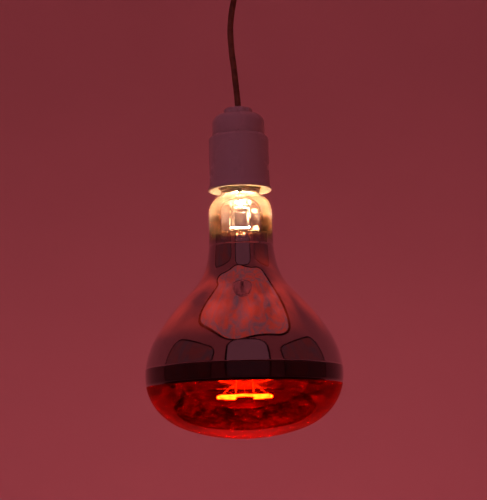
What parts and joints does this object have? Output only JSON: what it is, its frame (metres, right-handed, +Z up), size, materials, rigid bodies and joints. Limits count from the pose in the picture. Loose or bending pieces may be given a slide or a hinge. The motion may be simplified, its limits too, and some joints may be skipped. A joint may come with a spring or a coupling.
{
  "type": "pendant reflector heat lamp",
  "caption": "Red reflector heat lamp in a screw lampholder, hung on a short cord from a ceiling rose.",
  "frame": {"origin": "middle of the rose face that rests on the ceiling", "axes": "+Z up into the ceiling, the cord, lampholder and lamp hang down along -Z; +X across the two fixing holes; -Y towards the viewer"},
  "size_m": [0.125, 0.125, 0.336],
  "materials": {
    "white_ceramic": "glazed white porcelain",
    "ivory_ceramic": "unglazed insulating ceramic",
    "nylon": "natural nylon",
    "brass": "stamped brass, slightly dull",
    "steel": "zinc-plated steel",
    "cord_cover": "tan flexible cord cover",
    "core_blue": "blue core insulation",
    "core_brown": "brown core insulation",
    "black_rubber": "moulded rubber",
    "cap_metal": "rolled thin shell",
    "black_glass": "black insulating glass",
    "solder": "dull solder",
    "cement": "basing cement",
    "ruby_glass": "ruby-coated face, silvered reflector, clear neck",
    "clear_glass": "clear stem glass",
    "shield_metal": "bright pressed sheet",
    "wire": "drawn nickel wire",
    "hot_filament": "glowing coiled wire"
  },
  "bodies": {
    "rose": {"rose_base": "white_ceramic", "rose_cover": "white_ceramic", "rose_cover_screws": "steel", "rose_terminal_block": "ivory_ceramic", "rose_terminals": "brass", "rose_terminal_screws": "steel", "rose_cord_clamp": "nylon", "rose_clamp_screws": "steel", "rose_cord_tail": "cord_cover", "rose_cores": "core_blue"},
    "swing_ring": {"cord_bush": "black_rubber"},
    "pendant": {"cord": "cord_cover", "cord_grip_nut": "white_ceramic", "cord_grip_sleeve": "nylon", "holder_cap": "white_ceramic", "terminal_carrier": "ivory_ceramic", "carrier_screws": "steel", "holder_terminals": "brass", "holder_terminal_screws": "steel", "centre_contact": "brass", "side_contact": "brass", "contact_rivets": "brass", "live_core": "core_brown", "neutral_core": "core_blue"},
    "skirt_travel": {"shell_ring": "steel"},
    "skirt": {"holder_skirt": "white_ceramic", "thread_shell": "brass"},
    "lamp_travel": {"cap_insulator": "black_glass", "tip_contact": "solder"},
    "lamp": {"lamp_cap_shell": "cap_metal", "side_solder": "solder", "cap_cement": "cement", "bulb_glass": "ruby_glass", "lamp_stem": "clear_glass", "exhaust_tube": "clear_glass", "lead_wires": "wire", "heat_shield": "shield_metal", "support_rod": "clear_glass", "support_hub": "clear_glass", "filament_supports": "wire", "filament": "hot_filament"}
  },
  "joints": [
    {"name": "swing_front_back", "type": "hinge", "parent": "rose", "child": "swing_ring", "pos_m": [0, 0, -0.038], "axis": [1, 0, 0], "range_deg": [-20, 20]},
    {"name": "swing_side", "type": "hinge", "parent": "swing_ring", "child": "pendant", "pos_m": [0, 0, -0.038], "axis": [0, 1, 0], "range_deg": [-20, 20]},
    {"name": "skirt_slide", "type": "slide", "parent": "pendant", "child": "skirt_travel", "axis": [0, 0, -1], "range_m": [0, 0.0075]},
    {"name": "skirt_turn", "type": "hinge", "parent": "skirt_travel", "child": "skirt", "pos_m": [0, 0, -0.178], "axis": [0, 0, -1], "range_deg": [0, 900]},
    {"name": "lamp_slide", "type": "slide", "parent": "skirt", "child": "lamp_travel", "axis": [0, 0, -1], "range_m": [0, 0.01452]},
    {"name": "lamp_turn", "type": "hinge", "parent": "lamp_travel", "child": "lamp", "pos_m": [0, 0, -0.178], "axis": [0, 0, -1], "range_deg": [0, 1440]}
  ],
  "couplings": [
    {"joint": "skirt_slide", "follows": "skirt_turn", "m_per_rad": 0.00047746},
    {"joint": "lamp_slide", "follows": "lamp_turn", "m_per_rad": 0.00057757}
  ]
}
